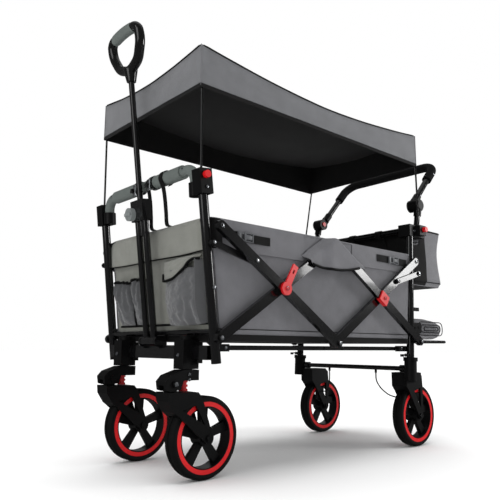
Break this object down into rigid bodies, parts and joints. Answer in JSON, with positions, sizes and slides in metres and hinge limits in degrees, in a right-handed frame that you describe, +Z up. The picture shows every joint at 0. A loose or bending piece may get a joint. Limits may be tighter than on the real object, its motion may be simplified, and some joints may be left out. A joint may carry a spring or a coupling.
{
  "type": "folding wagon with pull handle",
  "caption": "Folding fabric wagon on swivel casters and fixed rear wheels, with canopy, telescopic pull handle, push handle, scissor side frames and rear bag.",
  "frame": {"origin": "on the ground, midway between the end frames' low pivots, under the middle of the scissor fold", "axes": "+Z up, -X towards the front with the pull handle, -Y towards the wagon's left side"},
  "size_m": [1.26, 0.6022, 1.1905],
  "materials": {
    "rear_posts": "gloss",
    "rear_corner_blocks": "matte",
    "rear_top_frame": "gloss",
    "rear_forks": "matte",
    "rear_axle_bar": "gloss",
    "brake_cables": "matte",
    "rear_fasteners": "satin",
    "tub": "woven",
    "rear_bag": "woven",
    "footwell": "woven",
    "footwell_frame": "gloss",
    "canopy": "woven",
    "canopy_rear_poles": "gloss",
    "rear_long_arms": "gloss",
    "rear_saddles": "gloss",
    "rear_short_arms": "gloss",
    "front_long_arms": "gloss",
    "front_short_arms": "gloss",
    "fold_latches": "gloss",
    "front_posts": "gloss",
    "front_corners": "matte",
    "front_top_bar": "gloss",
    "front_grips": "matte",
    "axle_beam": "gloss",
    "caster_housings": "matte",
    "front_fasteners": "satin",
    "canopy_front_poles": "gloss",
    "rear_stays": "gloss",
    "front_stays": "gloss",
    "rear_rails": "gloss",
    "front_rails": "gloss",
    "push_handle": "gloss",
    "push_grip": "matte",
    "push_knuckles": "matte",
    "pull_lower_tubes": "gloss",
    "pull_inner_tube": "gloss",
    "pull_grip": "matte",
    "pull_knob": "matte",
    "rear_tyre_left": "matte",
    "rear_rim_left": "satin",
    "front_tyre_left": "matte",
    "front_rim_left": "satin",
    "caster_crown_left": "matte",
    "elastomer_left": "matte",
    "front_fork_left": "matte",
    "front_pole_button_left": "gloss",
    "rear_pole_button_left": "gloss",
    "push_button_left": "gloss",
    "release_lever_left": "matte",
    "rear_tyre_right": "matte",
    "rear_rim_right": "satin",
    "front_tyre_right": "matte",
    "front_rim_right": "satin",
    "caster_crown_right": "matte",
    "elastomer_right": "matte",
    "front_fork_right": "matte",
    "front_pole_button_right": "gloss",
    "rear_pole_button_right": "gloss",
    "push_button_right": "gloss",
    "release_lever_right": "matte"
  },
  "bodies": {
    "rear_frame": {"rear_posts": "rear_posts", "rear_corner_blocks": "rear_corner_blocks", "rear_top_frame": "rear_top_frame", "rear_forks": "rear_forks", "rear_axle_bar": "rear_axle_bar", "brake_cables": "brake_cables", "rear_fasteners": "rear_fasteners", "tub": "tub", "rear_bag": "rear_bag", "footwell": "footwell", "footwell_frame": "footwell_frame", "canopy": "canopy", "canopy_rear_poles": "canopy_rear_poles"},
    "rear_long": {"rear_long_arms": "rear_long_arms", "rear_saddles": "rear_saddles"},
    "rear_short": {"rear_short_arms": "rear_short_arms"},
    "front_long": {"front_long_arms": "front_long_arms"},
    "front_short": {"front_short_arms": "front_short_arms"},
    "fold_latches": {"fold_latches": "fold_latches"},
    "front_frame": {"front_posts": "front_posts", "front_corners": "front_corners", "front_top_bar": "front_top_bar", "front_grips": "front_grips", "axle_beam": "axle_beam", "caster_housings": "caster_housings", "front_fasteners": "front_fasteners", "canopy_front_poles": "canopy_front_poles"},
    "rear_stays": {"rear_stays": "rear_stays"},
    "front_stays": {"front_stays": "front_stays"},
    "rear_rails": {"rear_rails": "rear_rails"},
    "front_rails": {"front_rails": "front_rails"},
    "push_handle": {"push_handle": "push_handle", "push_grip": "push_grip", "push_knuckles": "push_knuckles"},
    "pull_lower": {"pull_lower_tubes": "pull_lower_tubes"},
    "pull_upper": {"pull_inner_tube": "pull_inner_tube", "pull_grip": "pull_grip"},
    "pull_knob": {"pull_knob": "pull_knob"},
    "rear_wheel_left": {"rear_tyre_left": "rear_tyre_left", "rear_rim_left": "rear_rim_left"},
    "front_wheel_left": {"front_tyre_left": "front_tyre_left", "front_rim_left": "front_rim_left"},
    "caster_left": {"caster_crown_left": "caster_crown_left", "elastomer_left": "elastomer_left"},
    "front_fork_left": {"front_fork_left": "front_fork_left"},
    "front_pole_button_left": {"front_pole_button_left": "front_pole_button_left"},
    "rear_pole_button_left": {"rear_pole_button_left": "rear_pole_button_left"},
    "push_button_left": {"push_button_left": "push_button_left"},
    "release_lever_left": {"release_lever_left": "release_lever_left"},
    "rear_wheel_right": {"rear_tyre_right": "rear_tyre_right", "rear_rim_right": "rear_rim_right"},
    "front_wheel_right": {"front_tyre_right": "front_tyre_right", "front_rim_right": "front_rim_right"},
    "caster_right": {"caster_crown_right": "caster_crown_right", "elastomer_right": "elastomer_right"},
    "front_fork_right": {"front_fork_right": "front_fork_right"},
    "front_pole_button_right": {"front_pole_button_right": "front_pole_button_right"},
    "rear_pole_button_right": {"rear_pole_button_right": "rear_pole_button_right"},
    "push_button_right": {"push_button_right": "push_button_right"},
    "release_lever_right": {"release_lever_right": "release_lever_right"}
  },
  "joints": [
    {"name": "fold", "type": "hinge", "parent": "rear_frame", "child": "rear_long", "pos_m": [0.409, 0, 0.341], "axis": [0, 1, 0], "range_deg": [0, 46], "deforming": ["tub", "canopy"]},
    {"name": "rear_crossing", "type": "hinge", "parent": "rear_long", "child": "rear_short", "pos_m": [0.21142, 0, 0.4695], "axis": [0, 1, 0], "range_deg": [-92, 0]},
    {"name": "middle_top", "type": "hinge", "parent": "rear_long", "child": "front_long", "pos_m": [0, 0, 0.607], "axis": [0, 1, 0], "range_deg": [-92, 0]},
    {"name": "front_crossing", "type": "hinge", "parent": "front_long", "child": "front_short", "pos_m": [-0.21142, 0, 0.4695], "axis": [0, 1, 0], "range_deg": [0, 92]},
    {"name": "front_low", "type": "hinge", "parent": "front_long", "child": "front_frame", "pos_m": [-0.409, 0, 0.341], "axis": [0, 1, 0], "range_deg": [0, 46]},
    {"name": "rear_stay", "type": "hinge", "parent": "rear_frame", "child": "rear_stays", "pos_m": [0.4212, 0, 0.565], "axis": [0, 1, 0], "range_deg": [0, 89.69]},
    {"name": "front_stay", "type": "hinge", "parent": "front_frame", "child": "front_stays", "pos_m": [-0.43559, 0, 0.565], "axis": [0, 1, 0], "range_deg": [-82.26, 0]},
    {"name": "rear_rail", "type": "hinge", "parent": "rear_frame", "child": "rear_rails", "pos_m": [0.365, 0, 0.318], "axis": [0, 1, 0], "range_deg": [0, 82.32]},
    {"name": "front_rail", "type": "hinge", "parent": "front_frame", "child": "front_rails", "pos_m": [-0.365, 0, 0.318], "axis": [0, 1, 0], "range_deg": [-82.32, 0]},
    {"name": "fold_latch", "type": "hinge", "parent": "front_short", "child": "fold_latches", "pos_m": [-0.21142, 0, 0.4695], "axis": [0, 1, 0], "range_deg": [0, 55]},
    {"name": "rear_wheel_left_spin", "type": "hinge", "parent": "rear_frame", "child": "rear_wheel_left", "pos_m": [0.475, -0.208, 0.1], "axis": [0, 1, 0], "continuous": true},
    {"name": "caster_left_swivel", "type": "hinge", "parent": "front_frame", "child": "caster_left", "pos_m": [-0.42, -0.153, 0.29], "axis": [0, 0, 1], "continuous": true},
    {"name": "suspension_left", "type": "hinge", "parent": "caster_left", "child": "front_fork_left", "pos_m": [-0.465, -0.153, 0.232], "axis": [0, -1, 0], "range_deg": [0, 6], "stiffness_Nm_per_rad": 60, "springref_deg": -6.88, "deforming": ["elastomer_left"]},
    {"name": "front_wheel_left_spin", "type": "hinge", "parent": "front_fork_left", "child": "front_wheel_left", "pos_m": [-0.367, -0.153, 0.1], "axis": [0, 1, 0], "continuous": true},
    {"name": "front_pole_button_left_press", "type": "slide", "parent": "front_frame", "child": "front_pole_button_left", "axis": [0, 1, 0], "range_m": [0, 0.0035], "stiffness_N_per_m": 400, "springref_m": -0.002},
    {"name": "rear_pole_button_left_press", "type": "slide", "parent": "rear_frame", "child": "rear_pole_button_left", "axis": [0, 1, 0], "range_m": [0, 0.0035], "stiffness_N_per_m": 400, "springref_m": -0.002},
    {"name": "push_button_left_press", "type": "slide", "parent": "push_handle", "child": "push_button_left", "axis": [0, -1, 0], "range_m": [0, 0.002], "stiffness_N_per_m": 400, "springref_m": -0.002},
    {"name": "release_lever_left_lift", "type": "hinge", "parent": "rear_frame", "child": "release_lever_left", "pos_m": [0.38521, -0.2495, 0.2975], "axis": [0, 1, 0], "range_deg": [0, 30]},
    {"name": "rear_wheel_right_spin", "type": "hinge", "parent": "rear_frame", "child": "rear_wheel_right", "pos_m": [0.475, 0.208, 0.1], "axis": [0, 1, 0], "continuous": true},
    {"name": "caster_right_swivel", "type": "hinge", "parent": "front_frame", "child": "caster_right", "pos_m": [-0.42, 0.153, 0.29], "axis": [0, 0, 1], "continuous": true},
    {"name": "suspension_right", "type": "hinge", "parent": "caster_right", "child": "front_fork_right", "pos_m": [-0.465, 0.153, 0.232], "axis": [0, -1, 0], "range_deg": [0, 6], "stiffness_Nm_per_rad": 60, "springref_deg": -6.88, "deforming": ["elastomer_right"]},
    {"name": "front_wheel_right_spin", "type": "hinge", "parent": "front_fork_right", "child": "front_wheel_right", "pos_m": [-0.367, 0.153, 0.1], "axis": [0, 1, 0], "continuous": true},
    {"name": "front_pole_button_right_press", "type": "slide", "parent": "front_frame", "child": "front_pole_button_right", "axis": [0, -1, 0], "range_m": [0, 0.0035], "stiffness_N_per_m": 400, "springref_m": -0.002},
    {"name": "rear_pole_button_right_press", "type": "slide", "parent": "rear_frame", "child": "rear_pole_button_right", "axis": [0, -1, 0], "range_m": [0, 0.0035], "stiffness_N_per_m": 400, "springref_m": -0.002},
    {"name": "push_button_right_press", "type": "slide", "parent": "push_handle", "child": "push_button_right", "axis": [0, 1, 0], "range_m": [0, 0.002], "stiffness_N_per_m": 400, "springref_m": -0.002},
    {"name": "release_lever_right_lift", "type": "hinge", "parent": "rear_frame", "child": "release_lever_right", "pos_m": [0.38521, 0.2495, 0.2975], "axis": [0, 1, 0], "range_deg": [0, 30]},
    {"name": "push_handle_tilt", "type": "hinge", "parent": "rear_frame", "child": "push_handle", "pos_m": [0.507, 0, 0.822], "axis": [0, 1, 0], "range_deg": [-40, 45]},
    {"name": "pull_handle_swing", "type": "hinge", "parent": "front_frame", "child": "pull_lower", "pos_m": [-0.429, 0, 0.333], "axis": [0, -1, 0], "range_deg": [0, 80]},
    {"name": "pull_handle_telescope", "type": "slide", "parent": "pull_lower", "child": "pull_upper", "axis": [0.1279, 0, -0.9918], "range_m": [0, 0.24]},
    {"name": "pull_knob_turn", "type": "hinge", "parent": "pull_lower", "child": "pull_knob", "pos_m": [-0.47318, 0.02, 0.6755], "axis": [-0.9918, 0, -0.1279], "range_deg": [0, 90]}
  ],
  "couplings": [
    {"joint": "rear_crossing", "follows": "fold", "ratio": -2},
    {"joint": "middle_top", "follows": "fold", "ratio": -2},
    {"joint": "front_crossing", "follows": "fold", "ratio": 2},
    {"joint": "front_low", "follows": "fold", "ratio": 1},
    {"joint": "rear_stay", "follows": "fold", "ratio": 1.9497},
    {"joint": "front_stay", "follows": "fold", "ratio": -1.7883},
    {"joint": "rear_rail", "follows": "fold", "ratio": 1.7896},
    {"joint": "front_rail", "follows": "fold", "ratio": -1.7896}
  ]
}
